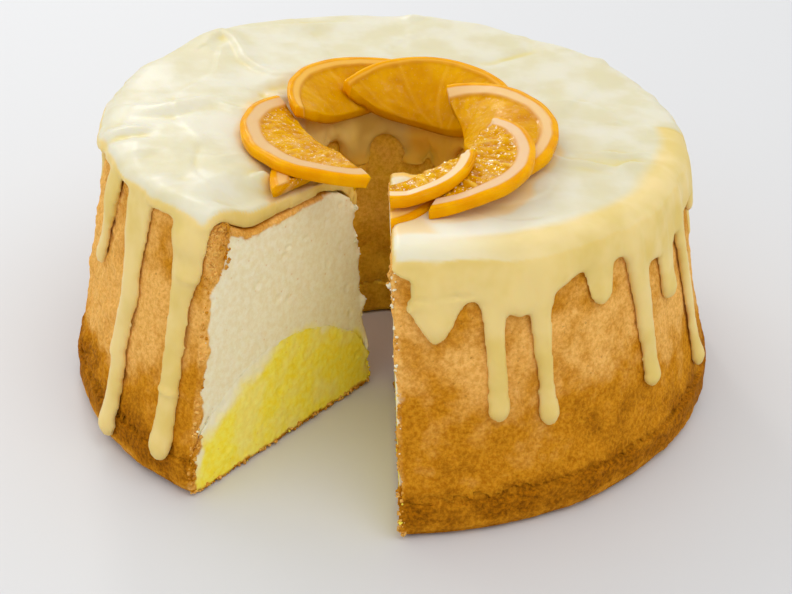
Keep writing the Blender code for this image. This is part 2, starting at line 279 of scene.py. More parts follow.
class Place:
    """Each point's depths from the cake's surfaces, its heading and its heights."""

    def __init__(self, mesh):
        points = self.points = points_of(mesh)
        self.height = upright(points)
        self.radius = np.hypot(points[:, 0], points[:, 1])
        self.degrees = np.degrees(np.arctan2(points[:, 1], points[:, 0])) % 360
        self.from_outside = outer_radius(self.height) - self.radius
        self.from_hole = self.radius - hole_radius(self.height)
        self.from_left = depth_from_cut(points, LEFT_CUT)
        self.from_right = depth_from_cut(points, RIGHT_CUT)
        self.from_cut = np.minimum(self.from_left, self.from_right)
        width = outer_radius(self.height) - hole_radius(self.height)
        share = np.clip((self.from_outside - LAYER_MARGIN) / (width - 2 * LAYER_MARGIN), 0, 1)
        dome = np.sin(np.pi * share**0.95) ** 0.45
        self.above_layer = self.height - LAYER_EDGE_HEIGHT - LAYER_RISE * dome

    def round_coordinates(self, radius):
        """Each point's way round a circle of this radius, its height, and its distance from the axis."""
        return np.stack([np.radians(self.degrees) * radius, self.height, self.radius], axis=-1)

    def outwards(self):
        """The level way out from the axis at each point."""
        return self.points * (1, 1, 0) / self.radius[:, None]


# Turning CAD solids into fine meshes


def onto_circles(points):
    """The CAD's rings have flat sides: this moves each point out to the circle that they stand for."""
    step = 2 * math.pi / RING_SIDES
    off = np.arctan2(points[:, 1], points[:, 0]) % step - step / 2
    grown = points.copy()
    grown[:, :2] *= (np.cos(off) / math.cos(step / 2))[:, None]
    return grown


def fine_copy(name, node, quad, rounds):
    """The CAD solid as an even mesh of small quads, rounded and smoothed."""
    obj = new_object(name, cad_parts[node].data.copy())
    obj.data.materials.clear()
    remesh = obj.modifiers.new("Even quads", "REMESH")
    remesh.mode = "VOXEL"
    remesh.voxel_size = quad * MM
    apply_modifiers(obj)
    points = averaged(onto_circles(points_of(obj.data)), edges_of(obj.data), rounds)
    set_points(obj.data, points)
    return obj


def refine(obj, wanted):
    """Halves the quads whose every corner is wanted."""
    body = bmesh.new()
    body.from_mesh(obj.data)
    body.verts.ensure_lookup_table()
    edges = [edge for edge in body.edges if wanted[edge.verts[0].index] and wanted[edge.verts[1].index]]
    bmesh.ops.subdivide_edges(body, edges=edges, cuts=1, use_grid_fill=True)
    body.to_mesh(obj.data)
    body.free()


def coarsen(obj, hidden):
    """Merges most of the faces that nothing shows."""
    group = obj.vertex_groups.new(name="hidden")
    group.add(np.flatnonzero(hidden).tolist(), 1.0, "REPLACE")
    decimate = obj.modifiers.new("Coarse where hidden", "DECIMATE")
    decimate.ratio = 1 - HIDDEN_MERGED * hidden.mean()
    decimate.vertex_group = "hidden"
    apply_modifiers(obj)
    obj.vertex_groups.clear()


def finish_piece(obj, material, slot, *nodes):
    obj.data.materials.clear()
    obj.data.materials.append(material)
    obj.data.shade_smooth()
    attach(obj, "root")
    if nodes:
        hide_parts(*nodes)


# Material nodes


class Shader:
    """A material, with short names for its nodes."""

    def __init__(self, name):
        self.material = bpy.data.materials.new(name)
        self.material.use_nodes = True
        self.nodes = self.material.node_tree.nodes
        self.links = self.material.node_tree.links
        self.surface = self.nodes["Principled BSDF"]
        self.place = self.nodes.new("ShaderNodeTexCoord").outputs["Object"]

    def put(self, socket, value):
        if isinstance(value, bpy.types.NodeSocket):
            self.links.new(value, socket)
        else:
            socket.default_value = value

    def set(self, **values):
        """Sets or links the surface's inputs, named with _ for each space."""
        for name, value in values.items():
            self.put(self.surface.inputs[name.replace("_", " ")], value)

    def value(self, attribute):
        node = self.nodes.new("ShaderNodeAttribute")
        node.attribute_name = attribute
        return node.outputs["Fac"]

    def noise(self, size, detail, roughness):
        """Noise from 0 to 1 with lumps of this many millimetres."""
        node = self.nodes.new("ShaderNodeTexNoise")
        self.links.new(self.place, node.inputs["Vector"])
        node.inputs["Scale"].default_value = 1000 / size
        node.inputs["Detail"].default_value = detail
        node.inputs["Roughness"].default_value = roughness
        return node.outputs["Fac"]

    def dots(self, size):
        """How far each point is from the nearest of scattered dots, in dot spacings."""
        node = self.nodes.new("ShaderNodeTexVoronoi")
        self.links.new(self.place, node.inputs["Vector"])
        node.inputs["Scale"].default_value = 1000 / size
        return node.outputs["Distance"]

    def between(self, value, low, high, to_low=0.0, to_high=1.0):
        node = self.nodes.new("ShaderNodeMapRange")
        node.interpolation_type = "SMOOTHSTEP"
        self.links.new(value, node.inputs["Value"])
        for name, number in (("From Min", low), ("From Max", high), ("To Min", to_low), ("To Max", to_high)):
            node.inputs[name].default_value = number
        return node.outputs["Result"]

    def maths(self, operation, first, second):
        node = self.nodes.new("ShaderNodeMath")
        node.operation = operation
        self.put(node.inputs[0], first)
        self.put(node.inputs[1], second)
        return node.outputs[0]

    def mix(self, share, first, second):
        node = self.nodes.new("ShaderNodeMix")
        node.data_type = "RGBA"
        self.put(node.inputs["Factor"], share)
        self.put(node.inputs["A"], first)
        self.put(node.inputs["B"], second)
        return node.outputs["Result"]

    def bump(self, height, distance, strength=1.0, below=None):
        """Relief this many millimetres high."""
        node = self.nodes.new("ShaderNodeBump")
        node.inputs["Distance"].default_value = distance * MM
        self.put(node.inputs["Strength"], strength)
        self.links.new(height, node.inputs["Height"])
        if below:
            self.links.new(below, node.inputs["Normal"])
        return node.outputs["Normal"]


def colour(red, green, blue):
    """A screen colour, 0 to 255, as the linear colour that shaders take."""
    shares = [c / 255 for c in (red, green, blue)]
    linear = [((c + 0.055) / 1.055) ** 2.4 if c > 0.04 else c / 12.92 for c in shares]
    return (*linear, 1.0)


CRUST_PALE = colour(246, 190, 104)
CRUST_TAN = colour(220, 158, 70)
CRUST_GOLD = colour(214, 146, 30)
CRUST_BROWN = colour(180, 110, 6)
CRUST_DARK = colour(118, 68, 0)
HOLE_PALE = colour(244, 200, 60)
HOLE_DARK = colour(222, 170, 26)
WHITE_CRUMB = colour(243, 235, 206)
WHITE_SHADE = colour(236, 222, 182)
YELLOW_CRUMB = colour(252, 236, 96)
YELLOW_SHADE = colour(248, 222, 52)
ICING_TOP = colour(220, 214, 190)
ICING_TOP_SHADE = colour(212, 203, 166)
# Painted light: a whiter patch on the front of the icing's top, where the most light falls
ICING_PAINTED_LIGHT = colour(238, 234, 214)
# The icing's sides: partly thin icing's own deeper yellow, partly painted shade where they turn from the
# light
ICING_WALL = colour(235, 208, 134)
ICING_WALL_SHADE = colour(225, 196, 108)
# Painted shade: a deeper yellow laid into the icing's creases
ICING_CREASE_SHADE = colour(218, 198, 106)
SYRUP = colour(246, 190, 44)
ORANGE_FLESH = colour(214, 146, 0)
ORANGE_FLESH_SHADE = colour(196, 124, 0)
ORANGE_FIBRE = colour(232, 176, 0)
ORANGE_MEMBRANE = colour(244, 200, 84)
ORANGE_RIND = colour(236, 168, 0)
ORANGE_RIND_SHADE = colour(226, 150, 0)
# Painted glints: white specks on the pulp that stand for light sparkling on it
PAINTED_GLINT = colour(255, 244, 214)
FLOOR = colour(213, 213, 214)


def sponge_material(name, crumb, shade, other):
    """Open crumb where "crumb" is 1, and crust elsewhere, from peach-tan to dark brown by "brown"."""
    s = Shader(name)
    speckle = s.between(s.noise(1.5, 4, 0.7), 0.32, 0.68)
    mottle = s.between(s.noise(10, 3, 0.5), 0.3, 0.7)
    patches = s.maths("MULTIPLY", s.maths("SUBTRACT", mottle, 0.5), 0.3)
    browning = s.maths("ADD", s.value("brown"), patches)
    light = s.mix(speckle, CRUST_PALE, CRUST_TAN)
    middle = s.mix(speckle, CRUST_GOLD, CRUST_BROWN)
    dark = s.mix(speckle, CRUST_BROWN, CRUST_DARK)
    crust = s.mix(s.between(browning, 0.1, 0.6), light, middle)
    crust = s.mix(s.between(browning, 0.55, 1.0), crust, dark)
    specks = s.between(s.noise(1.6, 3, 0.6), 0.62, 0.78, 0.0, 0.5)
    crust = s.mix(specks, crust, CRUST_DARK)
    crust = s.mix(s.value("hole"), crust, s.mix(speckle, HOLE_PALE, HOLE_DARK))
    fine = s.between(s.noise(2.4, 4, 0.65), 0.3, 0.7)
    inside = s.mix(fine, crumb, shade)
    # Painted shade: tan dots in the crumb stand for the shade inside its pores
    inside = s.mix(s.between(s.dots(4.5), 0.04, 0.12, 0.4, 0.0), inside, CRUST_TAN)
    inside = s.mix(s.value("swap"), inside, other)
    is_crumb = s.value("crumb")
    coarse = s.bump(s.noise(2.2, 4, 0.6), 0.7, s.between(is_crumb, 0.3, 0.9, 0.8, 0.1))
    relief = s.bump(s.noise(0.8, 3, 0.6), 0.2, s.between(is_crumb, 0.3, 0.9, 0.9, 0.15), coarse)
    s.set(Base_Color=s.mix(is_crumb, crust, inside), Roughness=0.8, Normal=relief, Specular_IOR_Level=0.05)
    s.set(Subsurface_Weight=0.2, Subsurface_Radius=(1.0, 0.6, 0.25), Subsurface_Scale=1.6 * MM)
    return s.material


def icing_material():
    """Pale on top, with a patch of painted light at the front. Yellower on its sides and where it is thin,
    partly its own colour and partly painted shade; painted shade in its creases, and amber beside the syrup.
    """
    s = Shader("poured icing")
    cloud = s.between(s.noise(20, 3, 0.5), 0.35, 0.65)
    top = s.mix(cloud, ICING_TOP, ICING_TOP_SHADE)
    wall = s.mix(cloud, ICING_WALL, ICING_WALL_SHADE)
    # Painted light: the top turns whiter in a patch at its front
    top = s.mix(s.value("painted_light"), top, ICING_PAINTED_LIGHT)
    base = s.mix(s.value("wall"), top, wall)
    # Painted shade in the creases of the top
    base = s.mix(s.value("crease_shade"), base, ICING_CREASE_SHADE)
    base = s.mix(s.value("syrup"), base, SYRUP)
    relief = s.bump(s.noise(5, 3, 0.5), 0.15, 0.6)
    relief = s.bump(s.noise(0.9, 3, 0.6), 0.03, 0.5, relief)
    s.set(Base_Color=base, Roughness=s.between(cloud, 0, 1, 0.38, 0.5), Normal=relief)
    s.set(Specular_IOR_Level=0.25, Coat_Weight=0.04, Coat_Roughness=0.2)
    s.set(Subsurface_Weight=0.4, Subsurface_Radius=(1.0, 0.7, 0.3), Subsurface_Scale=2.2 * MM)
    return s.material


def orange_material(name, pith, wet):
    """Candied orange: rind and pith where "rind" and "pith" are 1, and amber flesh in fibres elsewhere."""
    s = Shader(name)
    warm = s.between(s.noise(8, 3, 0.5), 0.3, 0.7)
    flesh = s.mix(warm, ORANGE_FLESH, ORANGE_FLESH_SHADE)
    flesh = s.mix(s.value("fibre"), flesh, ORANGE_FIBRE)
    flesh = s.mix(s.value("membrane"), flesh, ORANGE_MEMBRANE)
    rind = s.mix(warm, ORANGE_RIND, ORANGE_RIND_SHADE)
    # Painted glints: white specks on the pulp, more of them the wetter the slice
    painted_glints = s.between(s.noise(1.0, 2, 0.5), 0.62, 0.68, 0.0, 0.85 * wet)
    flesh = s.mix(s.maths("MULTIPLY", painted_glints, s.value("pulp")), flesh, PAINTED_GLINT)
    base = s.mix(s.value("pith"), flesh, pith)
    base = s.mix(s.value("rind"), base, rind)
    lumpy = s.between(s.value("pulp"), 0, 1, 0.05, 0.1 + 0.8 * wet)
    relief = s.bump(s.noise(1.5, 3, 0.6), 0.6, lumpy)
    drops = s.between(s.noise(3.0, 3, 0.6), 0.52, 0.6, 0.0, 0.12 + 0.88 * wet)
    syrup = s.maths("MULTIPLY", drops, s.between(s.value("pulp"), 0, 1, 0.1, 1.0))
    s.set(Base_Color=base, Roughness=0.22, Normal=relief, Specular_IOR_Level=0.03)
    s.set(Coat_Weight=syrup, Coat_Roughness=0.06)
    s.set(Subsurface_Weight=0.3, Subsurface_Radius=(1.0, 0.7, 0.15), Subsurface_Scale=2.5 * MM)
    return s.material


# The sponges


def crust_relief(place):
    """The crust's lumps and pores, in millimetres outwards."""
    points = place.points
    relief = 0.5 * layered(points, 14, 10) + 0.3 * layered(points, 4, 14, 2)
    relief -= 0.5 * pits(points, 4.2, 20, 0.4)
    ragged = ramp(184, 192, place.degrees) * ramp(222, 206, place.degrees)
    ragged *= ramp(6, 24, place.height)
    return relief + ragged * (1.0 * noise(points, 9, 30) + 1.2 * layered(points, 4, 32, 2))


def sunk_at_left_cut(place, depth):
    """How far the top has settled, in millimetres: this deep at the left cut, and less away from it."""
    return depth * ramp(SETTLED_WIDTH, 3, place.from_left) * ramp(107, 88, place.radius)


def crumb_relief(place, coarse):
    points = place.points
    grain = 0.28 * noise(points, 2.6, 41) + 0.2 * noise(points, 1.4, 42)
    return 0.2 * noise(points, 14, 40) + coarse * grain - 0.5 * pits(points, 5, 50, 0.1)


def sponge_fields(place, crust_depth):
    """How much of each point is crumb, how brown its crust is, with painted shade below the icing and partly
    painted light on the left, and how much is the hole's paler crust.
    """
    points = place.points
    wobble = layered(points, 6, 60)
    fine = layered(points, 2.6, 65, 2)
    depth = place.from_outside + 1.2 * wobble + 0.8 * fine
    crumb = ramp(0.2, 1.2, depth - crust_depth(place))
    crumb *= ramp(1.8, 2.6, place.from_outside + 3 * ramp(4, 2, place.from_cut))
    from_hole = place.from_hole - 1.4 * ramp(1.5, 4, place.from_cut)
    crumb *= ramp(-0.6, 0.4, from_hole + 0.5 * wobble)
    under_icing = 1.3 + 1.0 * noise(points, 8, 66) + 2.6 * ramp(34, 8, place.from_outside)
    crumb *= ramp(0, 0.9, SPONGE_HEIGHT - place.height - under_icing + 0.8 * fine)
    crumb *= ramp(1.6, 2.6, place.height + 0.8 * wobble + 0.8 * fine)
    left = ramp(240, 200, place.degrees) * ramp(150, 190, place.degrees)
    low = ramp(66 - 20 * left, 20 - 6 * left, place.height + 9 * layered(points, 30, 70))
    band = ramp(22, 12, place.height + 1.5 * wobble) * ramp(3, 8, place.height + wobble)
    brown = 0.24 + 0.42 * low + 0.3 * band + 0.2 * noise(points, 17, 75)
    # Painted shade: the crust is browner just below the icing, where its skirt shades it
    brown += 0.16 * ramp(64, 84, place.height + 6 * wobble)
    foot = ramp(9, 4, place.height + wobble)
    # On the left the crust is paler higher up and at its foot, partly its own colour and partly painted light
    # from the left
    brown += left * (0.35 * ramp(38, 18, place.height) - 0.22 - 0.3 * foot)
    on_face = ramp(2.5, 1.0, place.from_cut)
    brown = np.where(place.height < 3, 0.8, brown - 0.2 * on_face)
    hole = ramp(5, 3, place.from_hole) * (1 - on_face) * (0.75 + 0.25 * wobble)
    return crumb, brown, hole


def white_crust_depth(place):
    """Thick at the top corner of the cut, thin below."""
    return 2.2 + 7 * ramp(72, 96, place.height) + 1.8 * noise(place.points, 11, 80)


def yellow_crust_depth(place):
    return 2.6 + 1.2 * noise(place.points, 9, 81)


def yellow_share(place):
    """How much of the crumb is yellow near the two sponges' boundary, which is soft and ragged."""
    fades = ramp(2, 10, place.from_outside) * ramp(50, 25, place.from_outside)
    rises = ramp(14, 3, place.from_hole)
    edge = place.above_layer + YELLOW_DROPS * fades - YELLOW_RISES * rises
    edge += 2.6 * layered(place.points, 6, 85)
    return ramp(3.2 + 2 * fades, -3.2 - 2 * fades, edge)


def yellow_swap(place):
    """Where the yellow crumb is pale: along its edges with the white, the crust and the hole."""
    points = place.points
    ragged = 1.6 * layered(points, 5, 86)
    outer = ramp(7.5, 4.5, place.from_outside + ragged) * ramp(3, 16, place.height)
    inner = ramp(3.6, 1.6, place.from_hole + ragged) * ramp(12, 24, place.height)
    patches = 0.2 * ramp(-0.2, 0.8, layered(points, 9, 88))
    pale = np.maximum(np.maximum(0.85 * outer, 0.7 * inner), patches)
    return np.maximum(pale, 1 - yellow_share(place))


def close_seam(place, upwards):
    """How far each point moves to square the rounded edge that the sponges share, and to lap it over."""
    near = ramp(3.4, 1.7, np.abs(place.above_layer))
    lapped = np.zeros(len(place.points))
    moved = np.zeros_like(place.points)
    for depth, outwards in (
        (place.from_left, cut_outwards(LEFT_CUT)),
        (place.from_right, cut_outwards(RIGHT_CUT)),
        (place.from_outside, place.outwards()),
        (place.from_hole, -place.outwards()),
    ):
        share = near * ramp(2.1, 1.1, depth)
        moved += (share * np.clip(depth, 0, 2.3))[:, None] * outwards
        lapped = np.maximum(lapped, share)
    moved[:, 2] += upwards * lapped
    return moved


def make_sponge(node, material, crust_depth, swap, coarse, upwards, hidden_from):
    """A sponge with its crust and crumb, whose edge laps over the other's this far upwards."""
    obj = fine_copy(node + "_baked", node, SPONGE_QUAD, 2)
    refine(obj, Place(obj.data).from_cut < HALVED_AT_CUT)
    coarsen(obj, hidden_from(Place(obj.data)))
    place = Place(obj.data)
    points = place.points
    crumb, brown, hole = sponge_fields(place, crust_depth)
    on_cut = ramp(1.8, 0.8, place.from_cut)
    on_wall = ramp(3.0, 1.5, np.minimum(place.from_outside, place.from_hole))
    relief = on_wall * (1 - on_cut) * crust_relief(place) + on_cut * crumb_relief(place, coarse)
    relief += on_cut * (1 - crumb) * (0.4 + 0.6 * layered(points, 4, 90, 2))
    corner = ramp(3.0, 1.0, place.from_hole + np.maximum(place.from_cut, 0))
    relief += corner * 1.3 * layered(points, 5, 97, 2)
    relief *= ramp(0.3, 2.5, place.height)
    shaped = points + close_seam(place, upwards) + normals_of(obj.data) * relief[:, None]
    shaped[:, 2] -= ramp(76, 96, place.height) * sunk_at_left_cut(place, SPONGE_SETTLES)
    set_points(obj.data, shaped)
    write_values(obj.data, crumb=crumb, brown=brown, hole=hole, swap=swap(place))
    finish_piece(obj, material, node, node)
    obj.data.set_sharp_from_angle(angle=math.radians(SHARP_EDGE_DEGREES))
    return obj


def crumb_balls(points, normals, random, count, smallest, largest, open_share):
    """Lumpy little balls, sunk a little into the surface: their points, faces, and which are open crumb."""
    body = bmesh.new()
    bmesh.ops.create_icosphere(body, subdivisions=2, radius=1)
    ball = np.array([vertex.co for vertex in body.verts])
    faces = np.array([[vertex.index for vertex in face.verts] for face in body.faces])
    body.free()
    chosen = random.integers(0, len(points), count)
    size = smallest + (largest - smallest) * random.random(count) ** 2
    stretch = random.uniform(0.7, 1.3, (count, 1, 3))
    lumps = ball[None] * stretch * size[:, None, None]
    apart = lumps.reshape(-1, 3) + 7.3 * np.repeat(chosen, len(ball))[:, None]
    lumps *= 1 + 0.7 * noise(apart, 0.55, 95).reshape(count, len(ball), 1)
    centres = points[chosen] + normals[chosen] * 0.15 * size[:, None]
    centres[:, 2] = np.maximum(centres[:, 2], 1.3 * size)
    is_open = np.repeat(random.random(count) < open_share, len(ball))
    every = faces[None] + np.arange(count)[:, None, None] * len(ball)
    return (centres[:, None] + lumps).reshape(-1, 3), every.reshape(-1, 3), is_open


def make_crumbs(name, source, material, slot, groups, seed):
    """Crumbs that cling to a sponge."""
    random = np.random.default_rng(seed)
    place, normals = Place(source.data), normals_of(source.data)
    all_points, all_faces, all_open = [], [], []
    for where, *scatter in groups:
        spots = np.flatnonzero(where(place))
        balls, faces, is_open = crumb_balls(place.points[spots], normals[spots], random, *scatter)
        all_faces.append(faces + sum(len(done) for done in all_points))
        all_points.append(balls)
        all_open.append(is_open)
    points = np.concatenate(all_points)
    mesh = bpy.data.meshes.new(name)
    mesh.from_pydata((points * MM).tolist(), [], np.concatenate(all_faces).tolist())
    brown = 0.15 + 0.3 * random_at(np.floor(points / 3), 96)
    write_values(mesh, crumb=np.concatenate(all_open) * 1.0, brown=brown)
    finish_piece(new_object(name, mesh), material, slot)


# Crumbs at the cuts: where, how many, their least and greatest radius, and the share that is open crumb
WHITE_CRUMBS = (
    (lambda p: (p.from_right < 1.4) & (p.from_outside < 1.6) & (p.height > 14), 70, 0.25, 0.7, 0.2),
    (lambda p: (p.from_right < 1.2) & (p.from_outside < 6) & (p.height > 84), 30, 0.3, 1.0, 0.4),
    (lambda p: (p.from_left < 1.4) & (p.from_hole < 1.6) & (p.height > 30), 14, 0.4, 1.0, 1.0),
    (lambda p: (p.from_left < 1.4) & (p.from_outside < 2) & (p.height > 14), 80, 0.25, 0.7, 0.05),
    (lambda p: (p.from_left < 1.4) & (p.from_outside < 10) & (p.height > 82), 70, 0.3, 1.0, 0.0),
    (lambda p: (p.from_left < 1.4) & (p.height > 98), 30, 0.25, 0.6, 0.0),
)
YELLOW_CRUMBS = (
    (lambda p: (p.from_left < 1.4) & (p.from_hole < 1.6), 14, 0.3, 1.0, 1.0),
    (lambda p: (p.from_left < 1.4) & (p.height < 2.5), 130, 0.25, 0.8, 0.1),
    (lambda p: (p.from_left < 1.4) & (p.from_outside < 3), 40, 0.25, 0.8, 0.0),
    (lambda p: (p.from_right < 1.4) & (p.from_outside < 2), 40, 0.25, 0.8, 0.1),
    (lambda p: (p.from_right < 1.4) & (p.height < 2.5), 90, 0.25, 0.8, 0.15),
)


def deep_inside(place):
    return (place.from_outside > 4) & (place.from_hole > 4) & (place.from_cut > 4)


def deep_in_white(place):
    """Under the icing, or on the yellow sponge."""
    under_icing = (place.height > SPONGE_HEIGHT - 1.5) & (place.from_outside > 5) & (place.from_hole > 8)
    return deep_inside(place) & (under_icing | (place.height < 55))


def deep_in_yellow(place):
    return deep_inside(place) & (place.height > 9)


# The icing


# Marks in the icing's top: each one's line in x and y, its height and width, and which side falls sharply
STROKES = (
    (((-80, 62), (-75, 77), (-69, 68), (-63, 51), (-57, 42), (-50, 37), (-41, 38)), 1.4, 5, 1),
    (((-68, 4), (-62, 1), (-54, 0)), 1.1, 3, -1),
    (((-98, -3), (-91, -4), (-83, 0), (-70, 8)), 1.8, 9, -1),
    (((-56, 84), (-43, 88), (-20, 95)), 1.4, 6, -1),
    (((-102, -14), (-84, -11), (-72, -2)), -0.9, 4, 0),
    (((-70, -42), (-63, -43), (-57, -39)), 0.8, 4, -1),
    (((-51, -57), (-47, -54), (-43, -53)), 4.5, 2.6, 0),
    (((-70, -75), (-63, -80), (-55, -81), (-49, -78)), 0.9, 4, 0),
    (((74, -26), (79, -26), (86, -29), (94, -25)), 1.6, 2.6, -1),
    (((58, -28), (65, -33), (72, -34), (76, -36), (83, -40)), 1.6, 3, -1),
    (((82, -41), (88, -36), (94, -35)), 1.8, 4, -1),
    (((34, 60), (41, 63), (49, 70), (57, 75), (58, 84)), -1.6, 4, 0),
    (((58, -3), (68, 20), (78, 34)), 0.8, 6, 1),
    (((95, -14), (103, -13), (108, -11)), 0.8, 2.5, 0),
    (((2, -112), (26, -105), (50, -87), (72, -70)), 0.8, 7, 0),
    (((85, 66), (89, 71)), 2.2, 4, 0),
    (((2, 104), (12, 106)), 1.6, 4, 0),
)


def distance_to_line(points, line):
    """Each point's distance to a line of x and y points, its side of the line, and how far along it is."""
    nearest = np.full(len(points), 1e9)
    side = np.ones(len(points))
    along = np.zeros(len(points))
    line = np.array(line, float)
    lengths = np.linalg.norm(np.diff(line, axis=0), axis=1)
    before = np.concatenate([[0], np.cumsum(lengths)])
    for start, end, length, passed in zip(line[:-1], line[1:], lengths, before):
        way = (end - start) / length
        offset = points[:, :2] - start
        travelled = np.clip(offset @ way, 0, length)
        gap = np.linalg.norm(offset - travelled[:, None] * way, axis=1)
        closer = gap < nearest
        nearest[closer] = gap[closer]
        side[closer] = np.sign(offset[closer, 0] * way[1] - offset[closer, 1] * way[0])
        along[closer] = (passed + travelled[closer]) / before[-1]
    return nearest, side, along


def stroke_relief(points):
    relief = np.zeros(len(points))
    bent = points.copy()
    bent[:, 0] += 1.5 * noise(points, 12, 91)
    bent[:, 1] += 1.5 * noise(points, 12, 92)
    for line, height, width, sharp in STROKES:
        gap, side, along = distance_to_line(bent, line)
        reach = np.where(side == sharp, 0.35 * width, width)
        relief += height * np.exp(-((gap / reach) ** 2)) * (0.35 + 0.65 * np.sin(np.pi * along))
    return relief


def top_relief(place):
    """Broad mounds, sweeps of a knife round the cake, the low ledges it leaves, and the marks above."""
    points = place.points
    broad = 1.2 * noise(points, 42, 100) + 0.8 * noise(points, 19, 101) + 0.25 * noise(points, 8, 102)
    bend = 9 * noise(points, 30, 103)
    swept = np.stack([place.radius + bend, np.radians(place.degrees) * 90, points[:, 2]], axis=-1)
    sweeps = 0.15 * noise(swept / (9, 45, 50), 1, 104)
    ledge = noise(swept / (24, 60, 90), 1, 106)
    fold = noise(swept / (36, 40, 90), 1, 107)
    ledges = 0.4 * ramp(-0.04, 0.08, ledge) + 0.3 * ramp(0.06, -0.04, fold)
    return broad + sweeps + ledges + 0.9 * stroke_relief(points)


def wall_relief(place):
    """Soft runs down the wall."""
    unrolled = place.round_coordinates(120)
    runs = 0.8 * noise(unrolled / (7, 30, 60), 1, 110) + 0.35 * noise(unrolled, 11, 111)
    return runs + 0.2 * noise(unrolled / (2.5, 8, 60), 1, 112)


def rim_folds(place):
    """Folds of icing that flow over the left rim into its drips."""
    zone = ramp(188, 196, place.degrees) * ramp(224, 216, place.degrees)
    zone *= ramp(90, 98, place.radius) * ramp(84, 96, place.height)
    return zone * 1.4 * noise(place.round_coordinates(108) / (6.5, 26, 26), 1, 115)


# Swellings of the icing on the wall: heading, height, reach round and up, how proud, and shift round the cake
BULGES = (
    (202, 65, 5, 5, 0.8, 0),
    (214.5, 10, 6, 5, 1.0, 0),
    (215.5, 39, 5, 4, 0.8, -1.0),
    (215.6, 62, 9, 20, 0.3, 3.4),
    (231, 93, 7, 8, 1.4, 0),
    (232.5, 82, 6, 4, 1.6, 0),
    (230, 58, 5, 9, 0.6, 0),
    (229.6, 38, 6, 1.6, 1.2, 0),
    (229, 17, 6, 5, 1.0, 0),
    (277.4, 80, 6, 4, 0.6, 0),
    (281, 91, 5, 1, -0.9, 0),
    (275, 90, 4, 1, -0.7, 0),
    (288, 47.5, 4.5, 4, 0.9, 0),
    (297, 42.5, 4.5, 4, 0.9, 0),
    (309.5, 80, 5, 4, 0.6, 0),
    (321.3, 38.5, 5, 5, 1.2, 0),
    (330, 67, 5, 4, 0.6, 0),
    (341, 25, 5, 5, 1.2, 0),
)


def bulged(place):
    """How far the bulges swell each point of the wall, and how far they shift it round the cake."""
    relief, shift = np.zeros((2, len(place.points)))
    for degrees, height, round_reach, up_reach, proud, shifted in BULGES:
        across = np.radians(turned(place.degrees, degrees)) * place.radius / round_reach
        up = (place.height - height) / up_reach
        up = np.where(up < 0, 2.2 * up, up)
        share = np.exp(-(across**2) - up**2)
        relief += proud * share
        shift += shifted * share
    return relief, shift


def syrup_from(points, item, width):
    """Syrup that has run out of a slice, and this far into the icing beside it, from 0 to 1."""
    offset = points[:, :2] - (item.x, item.y)
    faces = math.radians(item.faces)
    deep = offset @ (math.cos(faces), math.sin(faces)) - item.cut_at
    gap = np.hypot(offset[:, 0], offset[:, 1]) - item.radius + 1.5 * layered(points, 9, 127, 2)
    return ramp(width, 0, gap) * ramp(-width, 2, deep)


def scraped_by_knife(place):
    """Where the right cut's knife took the skirt off, from 0 to 1."""
    ragged = place.from_right + 1.3 * noise(place.points, 5, 125)
    top = 97 + 0.6 * (3 - ragged) + 1.5 * noise(place.points, 4, 126)
    share = ramp(SCRAPE_WIDTH, SCRAPE_WIDTH - 1.5, ragged) * ramp(top + 1.5, top - 1.5, place.height)
    return share * (place.from_outside < 2)


def hole_arches(place):
    """How far the skirt's edge in the hole hangs lower beside a drip, so that it is arched."""
    beside = np.min([np.abs(turned(place.degrees, drip)) for drip in HOLE_DRIPS], axis=0)
    edge = ramp(70, 76, place.height) * ramp(98, 88, place.height)
    edge *= ramp(6, 3, place.from_hole)
    return ARCH_DROP * edge * np.clip((ARCH_REACH - beside) / (ARCH_REACH - ARCH_FOOT), 0, 1) ** 2.5


def icing_fields(mesh, place, relief, up, in_hole):
    """Where the icing takes painted shade in its creases, a patch of painted light at the front, the wall's
    yellow that is partly painted shade, and where it is soaked with syrup.
    """
    points = place.points
    # Painted shade in the creases: how far each point of the top lies below its neighbours' mean
    sunk = averaged(relief, edges_of(mesh), 14) - relief
    # Painted light: a whiter patch at the front of the top, fading from its centre
    from_lit_patch = ((points[:, 0] - 22) / 30) ** 2 + ((points[:, 1] + 90) / 24) ** 2
    # The sides' deeper yellow, by how far each point faces sideways: partly its own colour, partly painted
    # shade
    level = normals_of(mesh)[:, 2] + 0.08 * noise(points, 12, 123)
    # Partly painted shade: the front-right shoulder of the top also takes the sides' yellow as it turns from
    # the light
    thin = ramp(98, 104, place.radius + 2 * noise(points, 14, 124))
    thin *= ramp(268, 300, place.degrees)
    wall = np.maximum(1 - ramp(0.5, 0.75, level), 0.85 * thin)
    syrup = np.max([syrup_from(points, item, 3) for item in SLICES], axis=0)
    paler = ramp(-0.15, 0.3, noise(points, 15, 128)) * ramp(74, 84, place.height)
    return {
        "crease_shade": up * 0.7 * ramp(0.05, 0.6, sunk),
        "painted_light": np.exp(-from_lit_patch),
        "wall": np.maximum(wall, ramp(98, 92, place.height)),
        "syrup": np.maximum(0.4 * syrup * up, (0.85 - 0.65 * paler) * in_hole),
    }


def hidden_icing(place):
    """On the sponge, or against its wall."""
    under = (place.height < SPONGE_HEIGHT + 0.9) & (place.from_outside > 4) & (place.from_hole > 20)
    behind = (place.from_outside > 0.4) & (place.from_outside < 3)
    behind &= (place.height < 96) & (place.height > 70)
    return (under | behind) & (place.from_cut > 8)


